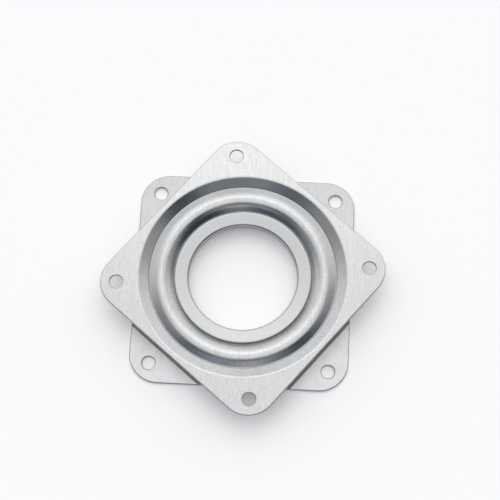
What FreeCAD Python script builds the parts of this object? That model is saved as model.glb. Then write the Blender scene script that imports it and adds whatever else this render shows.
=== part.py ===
import FreeCAD, Part
import math
import os
import Sketcher
from enum import IntEnum

# Turntable bearing for a lazy susan, millimetres, +Z up.
# The origin lies on the turning axis, in the plane that the bottom plate rests on.
# Two square plates of sheet steel, both pressed in the same die, face each other.
# Each has a round recess, and in it a ridge whose hollow side is one half of a ball race.
# A full ring of loose steel balls runs between the two races.
# A flanged eyelet through the middle clamps the bottom plate and holds the top one captive.

FULL_TURN = 360
HALF_TURN = 180
QUARTER_TURN = 90
PLATE_CORNERS = 4

# Driving sizes: name, value, what it is
SIZES = [
    ("plate_side", 77.0, "side of the square plate"),
    ("corner_radius", 10.3, "rounding of the plate's corners"),
    ("sheet_thickness", 1.0, "steel sheet of both plates"),
    ("hole_inset", 7.0, "screw hole centre to the two nearest sides of the plate"),
    ("screw_hole_diameter", 4.7, "punched hole for a number 8 screw"),
    ("rim_width", 1.43, "flat face left between the recess and the middle of each side"),
    ("recess_bend_radius", 1.0, "inside radius where the flat face bends into the recess"),
    ("recess_wall", 3.32, "straight run of the recess wall, along its slope"),
    ("valley_depth", 1.6, "lowest line of the recess, below the plate's face"),
    ("valley_bend_radius", 0.6, "inside radius of the crease in the valley"),
    ("ridge_outer_wall", 1.5, "straight run of the ridge's outer slope"),
    ("crest_depth", 0.26, "how far the ridge stays below the plate's face"),
    ("ridge_inner_wall", 1.3, "straight run of the ridge's inner slope"),
    ("flange_bend_radius", 0.3, "inside radius where that slope meets the flat flange"),
    ("flange_gap", 1.2, "running gap between the flanges of the two plates"),
    ("ball_diameter", 6.0, "hardened steel ball"),
    ("ball_play", 0.04, "free play between a ball and the floor of each race"),
    ("race_relief", 1.5, "how much larger the race's radius is than the ball's"),
    ("ball_gap", 0.15, "least free space between two balls in the full ring"),
    ("lip_clearance", 0.05, "radial gap between the eyelet's lip and the ridge's foot"),
    ("lip_width", 4.25, "how far each lip of the eyelet reaches past the barrel"),
    ("eyelet_thickness", 0.5, "steel of the eyelet"),
    ("eyelet_bend_radius", 0.2, "inside radius where the lip is rolled over"),
    ("eyelet_fit", 0.1, "radial clearance of the plates' holes past the eyelet's bend"),
    ("eyelet_play", 0.1, "axial clearance between the top flange and the upper lip"),
    ("shown_turn", 51.1, "how far the top plate is turned from the bottom plate, in degrees"),
]

doc = FreeCAD.newDocument("turntable_bearing")
sheet = doc.addObject("Spreadsheet::Sheet", "sizes")
for row, (alias, value, meaning) in enumerate(SIZES, start=1):
    sheet.set("A%d" % row, alias)
    sheet.set("B%d" % row, str(value))
    sheet.set("C%d" % row, meaning)
    sheet.setAlias("B%d" % row, alias)
doc.recompute()


def size(alias):
    return float(sheet.get(alias))


def origin_plane(body, role):
    return [plane for plane in body.Origin.OriginFeatures if plane.Role == role][0]


def new_sketch(body, name, role):
    sketch = body.newObject("Sketcher::SketchObject", name)
    sketch.AttachmentSupport = [(origin_plane(body, role), "")]
    sketch.MapMode = "FlatFace"
    return sketch


def bind(sketch, name, expression, *terms):
    """Add one dimension to a sketch, give it a name and tie it to the sheet."""
    index = sketch.addConstraint(Sketcher.Constraint(*terms))
    sketch.renameConstraint(index, name)
    sketch.setExpression("Constraints." + name, expression)


def point(x, y):
    return FreeCAD.Vector(x, y, 0)


class Place(IntEnum):
    """Points of sketch geometry: a line's or an arc's two ends and an arc's centre."""

    START = 1
    END = 2
    CENTRE = 3


START, END, CENTRE = Place
ORIGIN = (-1, START)


def apart(first_height, first_bend, second_height, second_bend, straight):
    """Level distance between the centres of two opposite bends with a straight wall between."""
    return "sqrt((%s + %s) ^ 2 + %s ^ 2 - (%s - %s) ^ 2)" % (
        first_bend,
        second_bend,
        straight,
        first_height,
        second_height,
    )


# Sizes that follow from the driving ones, written once and used by sketches and placements.
# Heights are measured from the outer face of the bottom plate.
SHEET = "sizes.sheet_thickness"
HEIGHT = "(sizes.ball_diameter + 2 * (sizes.ball_play + %s + sizes.crest_depth))" % SHEET
HALF_SPACING = "(sizes.plate_side / 2 - sizes.hole_inset)"
RIM_BEND = "(sizes.recess_bend_radius + %s)" % SHEET
VALLEY_HEIGHT = "(sizes.valley_depth - sizes.valley_bend_radius)"
GROOVE = "(sizes.ball_diameter / 2 + sizes.race_relief)"
RIDGE_BEND = "(%s + %s)" % (GROOVE, SHEET)
RACE_HEIGHT = "(sizes.crest_depth + %s)" % RIDGE_BEND
FLANGE_FACE = "(%s / 2 - sizes.flange_gap / 2 - %s)" % (HEIGHT, SHEET)
FOOT_HEIGHT = "(%s - sizes.flange_bend_radius)" % FLANGE_FACE
RECESS_RADIUS = "(sizes.plate_side / 2 - sizes.rim_width)"
VALLEY_RADIUS = "(%s - %s)" % (
    RECESS_RADIUS,
    apart(RIM_BEND, RIM_BEND, VALLEY_HEIGHT, "sizes.valley_bend_radius", "sizes.recess_wall"),
)
RACE_RADIUS = "(%s - %s)" % (
    VALLEY_RADIUS,
    apart(
        RACE_HEIGHT, RIDGE_BEND, VALLEY_HEIGHT, "sizes.valley_bend_radius", "sizes.ridge_outer_wall"
    ),
)
FOOT_RADIUS = "(%s - %s)" % (
    RACE_RADIUS,
    apart(
        RACE_HEIGHT, RIDGE_BEND, FOOT_HEIGHT, "sizes.flange_bend_radius", "sizes.ridge_inner_wall"
    ),
)
LIP_EDGE = "(%s - sizes.lip_clearance)" % FOOT_RADIUS
BARREL_RADIUS = "(%s - sizes.lip_width)" % LIP_EDGE
BORE_RADIUS = "(%s - sizes.eyelet_thickness)" % BARREL_RADIUS
FLANGE_HOLE = "(%s + sizes.eyelet_bend_radius + sizes.eyelet_fit)" % BARREL_RADIUS
LIP_SEAT = "(%s - %s + sizes.eyelet_play)" % (HEIGHT, FLANGE_FACE)
ROLLED_BEND = "(sizes.eyelet_bend_radius + sizes.eyelet_thickness)"


def value_of(expression):
    return float(sheet.evalExpression(expression))


thickness = value_of(SHEET)


def bend(name, across, height, outer, inner, below):
    """One bend of the pressed section.

    It has its centre, the radius of the plate's outer face and of its inner face round it,
    and whether the sheet passes below the centre, where the centre lies inside the bearing.
    """
    return dict(
        name=name,
        terms=(across, height, outer, inner),
        centre=(value_of(across), value_of(height)),
        outer=value_of(outer),
        inner=value_of(inner),
        below=below,
    )


VALLEY_INNER = "(sizes.valley_bend_radius + %s)" % SHEET
FOOT_INNER = "(sizes.flange_bend_radius + %s)" % SHEET

# The four bends, from the rim of the recess to the flange
BENDS = [
    bend("recess", RECESS_RADIUS, RIM_BEND, RIM_BEND, "sizes.recess_bend_radius", True),
    bend("valley", VALLEY_RADIUS, VALLEY_HEIGHT, "sizes.valley_bend_radius", VALLEY_INNER, False),
    bend("ridge", RACE_RADIUS, RACE_HEIGHT, RIDGE_BEND, GROOVE, True),
    bend("flange", FOOT_RADIUS, FOOT_HEIGHT, "sizes.flange_bend_radius", FOOT_INNER, False),
]


def crossing_direction(first, second):
    """Direction from the first bend's centre to the point where the straight wall leaves it.

    The wall crosses from one side of the sheet to the other between two bends that turn
    opposite ways, so it is the crossed tangent of the two circles.
    """
    dx = second["centre"][0] - first["centre"][0]
    dy = second["centre"][1] - first["centre"][1]
    to_second = math.atan2(dy, dx)
    opening = math.acos((first["outer"] + second["outer"]) / math.hypot(dx, dy))
    return to_second + opening if first["below"] else to_second - opening


def on_bend(turn, face, angle):
    x, z = turn["centre"]
    return point(x + turn[face] * math.cos(angle), z + turn[face] * math.sin(angle))


def arc_between(turn, face, from_angle, to_angle):
    """Arc of a bend that runs anticlockwise from the lower of the two angles."""
    low = min(from_angle, to_angle)
    high = max(from_angle, to_angle)
    circle = Part.Circle(point(*turn["centre"]), FreeCAD.Vector(0, 0, 1), turn[face])
    return Part.ArcOfCircle(circle, low, high)


def unwrap(angle, near):
    """The same direction, written within half a turn of another angle."""
    full = 2 * math.pi
    return angle - full * round((angle - near) / full)


def bend_angles():
    """Where the sheet enters and leaves each bend, seen from that bend's centre."""
    down = -math.pi / 2
    up = math.pi / 2
    directions = [crossing_direction(BENDS[i], BENDS[i + 1]) for i in range(len(BENDS) - 1)]
    pairs = []
    for i, turn in enumerate(BENDS):
        middle = down if turn["below"] else up
        enter = middle if i == 0 else unwrap(directions[i - 1] + math.pi, middle)
        leave = middle if i == len(BENDS) - 1 else unwrap(directions[i], middle)
        pairs.append((enter, leave))
    return pairs


def pressed_section(body):
    """Section of the pressed middle, from the rim of the recess to the hole in the flange."""
    sketch = new_sketch(body, "pressed_section", "XZ_Plane")
    angles = bend_angles()
    flange_face = value_of(FLANGE_FACE)
    flange_hole = value_of(FLANGE_HOLE)
    foot = value_of(FOOT_RADIUS)
    rim = value_of(RECESS_RADIUS)
    arcs = {}
    ends = {}
    for face in ("outer", "inner"):
        for turn, (enter, leave) in zip(BENDS, angles):
            key = (face, turn["name"])
            arcs[key] = sketch.addGeometry(arc_between(turn, face, enter, leave), False)
            ends[key] = (START, END) if enter < leave else (END, START)
    for face in ("outer", "inner"):
        for i in range(len(BENDS) - 1):
            first = (face, BENDS[i]["name"])
            second = (face, BENDS[i + 1]["name"])
            wall = sketch.addGeometry(
                Part.LineSegment(
                    on_bend(BENDS[i], face, angles[i][1]),
                    on_bend(BENDS[i + 1], face, angles[i + 1][0]),
                ),
                False,
            )
            sketch.addConstraint(
                [
                    Sketcher.Constraint("Tangent", arcs[first], ends[first][1], wall, START),
                    Sketcher.Constraint("Tangent", wall, END, arcs[second], ends[second][0]),
                ]
            )
    flange = {}
    for face, height in (("outer", flange_face), ("inner", flange_face + thickness)):
        key = (face, "flange")
        flange[face] = sketch.addGeometry(
            Part.LineSegment(point(foot, height), point(flange_hole, height)), False
        )
        sketch.addConstraint(
            [
                Sketcher.Constraint("Tangent", arcs[key], ends[key][1], flange[face], START),
                Sketcher.Constraint("Horizontal", flange[face]),
            ]
        )
    hole_edge = sketch.addGeometry(
        Part.LineSegment(
            point(flange_hole, flange_face), point(flange_hole, flange_face + thickness)
        ),
        False,
    )
    rim_edge = sketch.addGeometry(
        Part.LineSegment(point(rim, 0), point(rim, thickness)), False
    )
    outer_rim = ("outer", "recess")
    inner_rim = ("inner", "recess")
    sketch.addConstraint(
        [
            Sketcher.Constraint("Coincident", hole_edge, START, flange["outer"], END),
            Sketcher.Constraint("Coincident", hole_edge, END, flange["inner"], END),
            Sketcher.Constraint("Vertical", hole_edge),
            Sketcher.Constraint("Coincident", rim_edge, START, arcs[outer_rim], ends[outer_rim][0]),
            Sketcher.Constraint("Coincident", rim_edge, END, arcs[inner_rim], ends[inner_rim][0]),
            Sketcher.Constraint("Vertical", rim_edge),
            Sketcher.Constraint("Vertical", rim_edge, START, arcs[outer_rim], CENTRE),
        ]
    )
    for turn in BENDS:
        name = turn["name"]
        outer = arcs[("outer", name)]
        inner = arcs[("inner", name)]
        across, height, outer_radius, inner_radius = turn["terms"]
        x, z = turn["centre"]
        sketch.addConstraint(Sketcher.Constraint("Coincident", outer, CENTRE, inner, CENTRE))
        bind(sketch, name + "_across", across, "DistanceX", *ORIGIN, outer, CENTRE, x)
        bind(sketch, name + "_height", height, "DistanceY", *ORIGIN, outer, CENTRE, z)
        bind(sketch, name + "_outer", outer_radius, "Radius", outer, turn["outer"])
        bind(sketch, name + "_inner", inner_radius, "Radius", inner, turn["inner"])
    bind(sketch, "flange_hole", FLANGE_HOLE, "DistanceX", *ORIGIN, hole_edge, START, flange_hole)
    return sketch


def square_blank(body):
    """Flat outer part of the plate: a rounded square round the pressed middle."""
    sketch = new_sketch(body, "blank_outline", "XY_Plane")
    half = size("plate_side") / 2
    rounding = size("corner_radius")
    reach = half - rounding
    sides = []
    corners = []
    for quarter in range(PLATE_CORNERS):
        turn = FreeCAD.Rotation(FreeCAD.Vector(0, 0, 1), QUARTER_TURN * quarter)
        side = Part.LineSegment(
            turn.multVec(point(-reach, -half)), turn.multVec(point(reach, -half))
        )
        sides.append(sketch.addGeometry(side, False))
        circle = Part.Circle(turn.multVec(point(reach, -reach)), FreeCAD.Vector(0, 0, 1), rounding)
        start = math.radians(QUARTER_TURN * (quarter - 1))
        corner = Part.ArcOfCircle(circle, start, start + math.radians(QUARTER_TURN))
        corners.append(sketch.addGeometry(corner, False))
    rim = value_of(RECESS_RADIUS)
    middle = Part.Circle(point(0, 0), FreeCAD.Vector(0, 0, 1), rim)
    opening = sketch.addGeometry(middle, False)
    for quarter in range(PLATE_CORNERS):
        following = sides[(quarter + 1) % PLATE_CORNERS]
        sketch.addConstraint(
            [
                Sketcher.Constraint("Tangent", sides[quarter], END, corners[quarter], START),
                Sketcher.Constraint("Tangent", corners[quarter], END, following, START),
                Sketcher.Constraint("Vertical" if quarter % 2 else "Horizontal", sides[quarter]),
            ]
        )
        if quarter:
            sketch.addConstraint(Sketcher.Constraint("Equal", corners[0], corners[quarter]))
    bottom, right, top, left = sides
    half_side = "sizes.plate_side / 2"
    bind(sketch, "front_edge", half_side, "DistanceY", bottom, START, *ORIGIN, half)
    bind(sketch, "right_edge", half_side, "DistanceX", *ORIGIN, right, START, half)
    bind(sketch, "back_edge", half_side, "DistanceY", *ORIGIN, top, START, half)
    bind(sketch, "left_edge", half_side, "DistanceX", left, START, *ORIGIN, half)
    bind(sketch, "rounding", "sizes.corner_radius", "Radius", corners[0], rounding)
    sketch.addConstraint(Sketcher.Constraint("Coincident", opening, CENTRE, *ORIGIN))
    bind(sketch, "opening", RECESS_RADIUS, "Radius", opening, rim)
    return sketch


def pressed_plate(label):
    """One plate: flat square, pressed middle, four punched screw holes.

    Its outer face lies at zero height and the pressing rises from there.
    """
    body = doc.addObject("PartDesign::Body", label)
    body.Label = label
    blank = body.newObject("PartDesign::Pad", "flat_rim")
    blank.Profile = square_blank(body)
    blank.setExpression("Length", SHEET)
    doc.recompute()

    pressing = body.newObject("PartDesign::Revolution", "pressed_middle")
    section = pressed_section(body)
    pressing.Profile = section
    pressing.ReferenceAxis = (section, ["V_Axis"])
    pressing.Angle = FULL_TURN
    doc.recompute()
    solid_volume = pressing.Shape.Volume

    centre = new_sketch(body, "screw_hole_centre", "XY_Plane")
    offset = value_of(HALF_SPACING)
    radius = size("screw_hole_diameter") / 2
    mark = centre.addGeometry(
        Part.Circle(point(offset, offset), FreeCAD.Vector(0, 0, 1), radius), False
    )
    bind(centre, "across", HALF_SPACING, "DistanceX", *ORIGIN, mark, CENTRE, offset)
    bind(centre, "along", HALF_SPACING, "DistanceY", *ORIGIN, mark, CENTRE, offset)
    bind(centre, "size", "sizes.screw_hole_diameter / 2", "Radius", mark, radius)
    doc.recompute()
    punch = body.newObject("PartDesign::Hole", "screw_hole")
    punch.Profile = centre
    punch.DepthType = "ThroughAll"
    punch.Reversed = True
    punch.setExpression("Diameter", "sizes.screw_hole_diameter")
    doc.recompute()
    holes = body.newObject("PartDesign::PolarPattern", "screw_holes")
    holes.Originals = [punch]
    holes.Axis = (centre, ["N_Axis"])
    holes.Angle = FULL_TURN
    holes.Occurrences = PLATE_CORNERS
    body.Tip = holes
    doc.recompute()

    punched = solid_volume - body.Shape.Volume
    expected = PLATE_CORNERS * math.pi * radius**2 * thickness
    if abs(punched - expected) > expected / FULL_TURN:
        raise RuntimeError("%s: the screw holes took %.3f of %.3f mm3" % (label, punched, expected))
    return body


def rolled_section(body):
    """Section of the eyelet: a short barrel with a lip rolled outward at each end."""
    sketch = new_sketch(body, "rolled_section", "XZ_Plane")
    bore = value_of(BORE_RADIUS)
    inside = size("eyelet_bend_radius")
    outside = value_of(ROLLED_BEND)
    across = bore + outside
    lip_edge = value_of(LIP_EDGE)
    low_seat = value_of(FLANGE_FACE)
    high_seat = value_of(LIP_SEAT)
    low = low_seat + inside
    high = high_seat - inside
    quarter = math.radians(QUARTER_TURN)

    def line(start, end):
        return sketch.addGeometry(Part.LineSegment(point(*start), point(*end)), False)

    def arc(height, radius, start):
        circle = Part.Circle(point(across, height), FreeCAD.Vector(0, 0, 1), radius)
        return sketch.addGeometry(Part.ArcOfCircle(circle, start, start + quarter), False)

    bore_wall = line((bore, low), (bore, high))
    top_outer = arc(high, outside, quarter)
    top_face = line((across, high + outside), (lip_edge, high + outside))
    top_edge = line((lip_edge, high + outside), (lip_edge, high_seat))
    top_seat = line((lip_edge, high_seat), (across, high_seat))
    top_inner = arc(high, inside, quarter)
    barrel_wall = line((across - inside, high), (across - inside, low))
    low_inner = arc(low, inside, quarter * 2)
    foot_seat = line((across, low_seat), (lip_edge, low_seat))
    foot_edge = line((lip_edge, low_seat), (lip_edge, low - outside))
    foot_face = line((lip_edge, low - outside), (across, low - outside))
    low_outer = arc(low, outside, quarter * 2)

    tangents = [
        (bore_wall, END, top_outer, END),
        (top_outer, START, top_face, START),
        (top_seat, END, top_inner, START),
        (top_inner, END, barrel_wall, START),
        (barrel_wall, END, low_inner, START),
        (low_inner, END, foot_seat, START),
        (foot_face, END, low_outer, END),
        (low_outer, START, bore_wall, START),
    ]
    corners = [
        (top_face, END, top_edge, START),
        (top_edge, END, top_seat, START),
        (foot_seat, END, foot_edge, START),
        (foot_edge, END, foot_face, START),
        (top_outer, CENTRE, top_inner, CENTRE),
        (low_outer, CENTRE, low_inner, CENTRE),
    ]
    for joint in tangents:
        sketch.addConstraint(Sketcher.Constraint("Tangent", *joint))
    for corner in corners:
        sketch.addConstraint(Sketcher.Constraint("Coincident", *corner))
    for flat in (top_face, top_seat, foot_seat, foot_face):
        sketch.addConstraint(Sketcher.Constraint("Horizontal", flat))
    for upright in (bore_wall, barrel_wall, top_edge, foot_edge):
        sketch.addConstraint(Sketcher.Constraint("Vertical", upright))

    bind(sketch, "bore", BORE_RADIUS, "DistanceX", *ORIGIN, bore_wall, START, bore)
    bind(sketch, "top_lip", LIP_EDGE, "DistanceX", *ORIGIN, top_edge, START, lip_edge)
    bind(sketch, "foot_lip", LIP_EDGE, "DistanceX", *ORIGIN, foot_edge, START, lip_edge)
    bind(sketch, "top_seat", LIP_SEAT, "DistanceY", *ORIGIN, top_seat, START, high_seat)
    bind(sketch, "foot_seat", FLANGE_FACE, "DistanceY", *ORIGIN, foot_seat, START, low_seat)
    bind(sketch, "outer_bend", ROLLED_BEND, "Radius", top_outer, outside)
    bind(sketch, "top_bend", "sizes.eyelet_bend_radius", "Radius", top_inner, inside)
    bind(sketch, "low_bend", "sizes.eyelet_bend_radius", "Radius", low_inner, inside)
    return sketch


def centre_eyelet(label):
    """Flanged eyelet: its lower lip clamps the bottom plate, its upper lip traps the top one."""
    body = doc.addObject("PartDesign::Body", label)
    body.Label = label
    rolled = body.newObject("PartDesign::Revolution", "rolled_eyelet")
    section = rolled_section(body)
    rolled.Profile = section
    rolled.ReferenceAxis = (section, ["V_Axis"])
    rolled.Angle = FULL_TURN
    doc.recompute()
    return body


def full_ring_count():
    """How many balls fit round the race with at least the named gap between them."""
    pitch = size("ball_diameter") + size("ball_gap")
    step = 2 * math.asin(pitch / 2 / value_of(RACE_RADIUS))
    return int(2 * math.pi / step)


def ball_ring():
    """The loose balls, spread evenly round the race, half way between the two plates."""
    balls = []
    count = full_ring_count()
    for index in range(count):
        label = "ball_%02d" % (index + 1)
        ball = doc.addObject("Part::Sphere", label)
        ball.Label = label
        ball.setExpression("Radius", "sizes.ball_diameter / 2")
        bearing = "(%d * %d / %d)" % (FULL_TURN, index, count)
        ball.setExpression("Placement.Base.x", "%s * cos%s" % (RACE_RADIUS, bearing))
        ball.setExpression("Placement.Base.y", "%s * sin%s" % (RACE_RADIUS, bearing))
        ball.setExpression("Placement.Base.z", HEIGHT + " / 2")
        balls.append(ball)
    doc.recompute()
    return balls


bottom_plate = pressed_plate("bottom_plate")
top_plate = pressed_plate("top_plate")
eyelet = centre_eyelet("centre_eyelet")
balls = ball_ring()

# The top plate is the bottom plate turned over, then turned about the axis.
# Both turns together are one half turn about a level line at half the shown angle.
top_plate.Placement.Rotation = FreeCAD.Rotation(FreeCAD.Vector(1, 0, 0), HALF_TURN)
top_plate.setExpression("Placement.Rotation.Axis.x", "cos(sizes.shown_turn / 2)")
top_plate.setExpression("Placement.Rotation.Axis.y", "sin(sizes.shown_turn / 2)")
top_plate.setExpression("Placement.Base.z", HEIGHT)
doc.recompute()

sub_parts = [bottom_plate, top_plate, eyelet] + balls
for item in doc.Objects:
    if "Invalid" in item.State or "Error" in item.State:
        raise RuntimeError("%s did not build: %s" % (item.Label, item.State))
for item in sub_parts:
    if item.Shape.isNull() or not item.Shape.isValid():
        raise RuntimeError("%s has no valid solid" % item.Label)
    if len(item.Shape.Solids) != 1:
        raise RuntimeError("%s has %d solids" % (item.Label, len(item.Shape.Solids)))

os.makedirs("parts", exist_ok=True)
for item in sub_parts:
    item.Shape.exportStep("parts/" + item.Label + ".step")
    box = item.Shape.BoundBox
    print(
        "%-14s %9.2f mm3  x %.2f %.2f  y %.2f %.2f  z %.3f %.3f"
        % (item.Label, item.Shape.Volume, box.XMin, box.XMax, box.YMin, box.YMax, box.ZMin, box.ZMax)
    )
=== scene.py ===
import logging
import math
from dataclasses import dataclass, field
from enum import Enum

import bmesh
import bpy
from bpy.types import Material, Mesh, Node, NodeSocket, NodeTree, Object
from mathutils import Matrix, Vector


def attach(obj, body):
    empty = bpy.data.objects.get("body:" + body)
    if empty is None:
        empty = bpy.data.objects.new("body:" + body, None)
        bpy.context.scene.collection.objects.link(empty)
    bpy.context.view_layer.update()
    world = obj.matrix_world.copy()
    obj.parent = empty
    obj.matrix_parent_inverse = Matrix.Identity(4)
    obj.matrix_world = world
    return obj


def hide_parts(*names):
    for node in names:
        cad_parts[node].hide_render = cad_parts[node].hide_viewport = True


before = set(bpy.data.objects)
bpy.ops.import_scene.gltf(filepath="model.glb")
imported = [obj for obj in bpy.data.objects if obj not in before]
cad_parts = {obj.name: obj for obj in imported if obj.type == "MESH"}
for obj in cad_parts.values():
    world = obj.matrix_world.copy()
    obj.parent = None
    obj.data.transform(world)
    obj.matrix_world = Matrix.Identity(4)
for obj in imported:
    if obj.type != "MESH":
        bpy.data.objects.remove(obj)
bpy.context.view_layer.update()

# Turntable bearing: two pressed zinc-plated plates, a full ring of balls and a rolled eyelet.
# Sizes in the classes are millimetres and steps are degrees; meshes are metres.
# South is the side the camera stands on.

MM = 0.001
QUARTER = math.pi / 2
LOG = logging.getLogger("turntable_bearing")
BALL_NODES = sorted(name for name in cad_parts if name.startswith("ball_"))
SHOWN_TURN = 51.1

# Largest turn between two points of an arc.
CORNER_STEP = 3.0
BEND_STEP = 6.0
SMALL_BEND_STEP = 15.0
ROUNDING_STEP = 30.0

# Shares: points along the dished lip, and how much of the rounding counts as cut edge.
LIP_SUPPORTS = (0.1, 0.5, 0.9)
ROUNDED_SHARE = 0.98

# Points nearer than a weld are joined. Past the other two a face is level, an edge sharp.
PLATE_WELD = 0.002
EYELET_WELD = 0.001
LEVEL_NORMAL = 0.99999
SHARP_TURN = math.radians(40.0)

# Material indices, and how finely a ball is divided.
SHEET_INDEX = 0
CUT_INDEX = 1
BALL_SEGMENTS = 40
BALL_RINGS = 20

# Stretch of the rolling lines, and the noise values that become 0 and 1.
LINE_STRETCH = 0.09
NOISE_SPREAD = (0.3, 0.7)

# Where the press marks fade past their outer radius, and the painted crease shade beside its line,
# in metres.
RING_FADE = (-0.0008, 0.0003)
CREASE_FADE = (0.00012, 0.0004)

FLOAT = "NodeSocketFloat"
INTEGER = "NodeSocketInt"
VECTOR = "NodeSocketVector"
GEOMETRY = "NodeSocketGeometry"
MATERIAL = "NodeSocketMaterial"

Colour = tuple[float, float, float]
Point = tuple[float, float]


class Face(Enum):
    """Which way a pressed plate's outer face looks."""

    DOWN = "down"
    UP = "up"


class Slot(Enum):
    """Material slots of the record."""

    PLATE = "plate_steel"
    EYELET = "eyelet_steel"
    BALL = "ball_steel"


# Node helpers.


def new_group(
    name: str, kind: str, inputs: dict[str, tuple[str, object]], outputs: dict[str, str]
) -> tuple[NodeTree, Node, Node]:
    """Make a node group with named inputs and outputs.

    Args:
        name: the group's name.
        kind: the node tree type, such as GeometryNodeTree.
        inputs: each input's name, to its socket type and its default or None.
        outputs: each output's name, to its socket type.

    Returns:
        The tree, its input node and its output node.
    """
    tree = bpy.data.node_groups.new(name, kind)
    for label, (socket_type, value) in inputs.items():
        socket = tree.interface.new_socket(name=label, in_out="INPUT", socket_type=socket_type)
        if value is not None:
            socket.default_value = value
    for label, socket_type in outputs.items():
        tree.interface.new_socket(name=label, in_out="OUTPUT", socket_type=socket_type)
    return tree, tree.nodes.new("NodeGroupInput"), tree.nodes.new("NodeGroupOutput")


def math_node(
    tree: NodeTree, operation: str, first: object, second: object = None
) -> NodeSocket:
    """Add a Math node.

    Args:
        tree: where it goes.
        operation: the operation's name.
        first: a socket or a number.
        second: a socket or a number.

    Returns:
        The node's output.
    """
    node = tree.nodes.new("ShaderNodeMath")
    node.operation = operation
    for index, value in enumerate((first, second)):
        if isinstance(value, NodeSocket):
            tree.links.new(value, node.inputs[index])
        elif value is not None:
            node.inputs[index].default_value = value
    return node.outputs[0]


def ramp_node(
    tree: NodeTree, value: NodeSocket, low: float, high: float,
    to_low: float = 0.0, to_high: float = 1.0,
) -> NodeSocket:
    """Map a value smoothly from one range to another.

    Args:
        tree: where the node goes.
        value: the socket that is mapped.
        low: where the ramp starts.
        high: where it ends.
        to_low: the result at the start.
        to_high: the result at the end.

    Returns:
        The mapped value.
    """
    node = tree.nodes.new("ShaderNodeMapRange")
    node.interpolation_type = "SMOOTHSTEP"
    node.clamp = True
    tree.links.new(value, node.inputs["Value"])
    node.inputs["From Min"].default_value = low
    node.inputs["From Max"].default_value = high
    node.inputs["To Min"].default_value = to_low
    node.inputs["To Max"].default_value = to_high
    return node.outputs["Result"]


def mix_colour(
    tree: NodeTree, factor: NodeSocket, first: object, second: object
) -> NodeSocket:
    """Mix two colours by a mask.

    Args:
        tree: where the node goes.
        factor: the mask.
        first: the colour, or its socket, where the mask is 0.
        second: the same where the mask is 1.

    Returns:
        The mixed colour.
    """
    node = tree.nodes.new("ShaderNodeMix")
    node.data_type = "RGBA"
    tree.links.new(factor, node.inputs["Factor"])
    for name, value in (("A", first), ("B", second)):
        socket = [s for s in node.inputs if s.name == name and s.type == "RGBA"][0]
        if isinstance(value, NodeSocket):
            tree.links.new(value, socket)
        else:
            socket.default_value = (*value, 1.0)
    return [s for s in node.outputs if s.type == "RGBA"][0]


def noise_node(
    tree: NodeTree, vector: NodeSocket, scale: object, detail: float,
    roughness: float = 0.5,
) -> NodeSocket:
    """Add a noise texture.

    Args:
        tree: where the node goes.
        vector: its coordinates.
        scale: a socket or a number, in features a metre.
        detail: octaves.
        roughness: how strong the fine octaves are.

    Returns:
        The noise value.
    """
    node = tree.nodes.new("ShaderNodeTexNoise")
    tree.links.new(vector, node.inputs["Vector"])
    if isinstance(scale, NodeSocket):
        tree.links.new(scale, node.inputs["Scale"])
    else:
        node.inputs["Scale"].default_value = scale
    node.inputs["Detail"].default_value = detail
    node.inputs["Roughness"].default_value = roughness
    return node.outputs["Fac"]


# Shared surface effects.


def rolled_grain_group() -> NodeTree:
    """Grain of plated sheet: the mill's fine lines one way, a soft cloudy mottle and tiny pits."""
    tree, inside, outside = new_group(
        "rolled_grain",
        "ShaderNodeTree",
        {
            "Vector": (VECTOR, None),
            "Line scale": (FLOAT, 2600.0),
            "Mottle scale": (FLOAT, 420.0),
            "Pit scale": (FLOAT, 2900.0),
        },
        {"Lines": FLOAT, "Mottle": FLOAT, "Pits": FLOAT},
    )
    stretch = tree.nodes.new("ShaderNodeMapping")
    stretch.inputs["Scale"].default_value = (1.0, LINE_STRETCH, 1.0)
    tree.links.new(inside.outputs["Vector"], stretch.inputs["Vector"])
    for effect, place, scale, detail, roughness in (
        ("Lines", stretch.outputs["Vector"], "Line scale", 3.0, 0.6),
        ("Mottle", inside.outputs["Vector"], "Mottle scale", 4.0, 0.62),
        ("Pits", inside.outputs["Vector"], "Pit scale", 2.0, 0.6),
    ):
        noise = noise_node(tree, place, inside.outputs[scale], detail, roughness)
        tree.links.new(ramp_node(tree, noise, *NOISE_SPREAD), outside.inputs[effect])
    return tree


def press_marks_and_crease_shade_group() -> NodeTree:
    """Faint rings that the die rubs into the pressed middle, and painted shade along the valley's
    crease.
    """
    tree, inside, outside = new_group(
        "press_marks_and_crease_shade",
        "ShaderNodeTree",
        {
            "Vector": (VECTOR, None),
            "Ring scale": (FLOAT, 3000.0),
            "Outer radius": (FLOAT, 0.0372),
            "Crease radius": (FLOAT, 0.03312),
        },
        {"Rings": FLOAT, "Crease": FLOAT},
    )
    split = tree.nodes.new("ShaderNodeSeparateXYZ")
    tree.links.new(inside.outputs["Vector"], split.inputs[0])
    across = math_node(tree, "MULTIPLY", split.outputs["X"], split.outputs["X"])
    along = math_node(tree, "MULTIPLY", split.outputs["Y"], split.outputs["Y"])
    radius = math_node(tree, "SQRT", math_node(tree, "ADD", across, along))
    wave = tree.nodes.new("ShaderNodeTexNoise")
    wave.noise_dimensions = "1D"
    tree.links.new(radius, wave.inputs["W"])
    tree.links.new(inside.outputs["Ring scale"], wave.inputs["Scale"])
    wave.inputs["Detail"].default_value = 2.0
    rings = ramp_node(tree, wave.outputs["Fac"], 0.35, 0.65)
    past = math_node(tree, "SUBTRACT", radius, inside.outputs["Outer radius"])
    reach = ramp_node(tree, past, *RING_FADE, 1.0, 0.0)
    tree.links.new(math_node(tree, "MULTIPLY", rings, reach), outside.inputs["Rings"])
    # Painted shade along the valley's crease: full on its line, fading out beside it.
    away = math_node(tree, "SUBTRACT", radius, inside.outputs["Crease radius"])
    away = math_node(tree, "ABSOLUTE", away)
    tree.links.new(ramp_node(tree, away, *CREASE_FADE, 1.0, 0.0), outside.inputs["Crease"])
    return tree


# Finishes.

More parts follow.
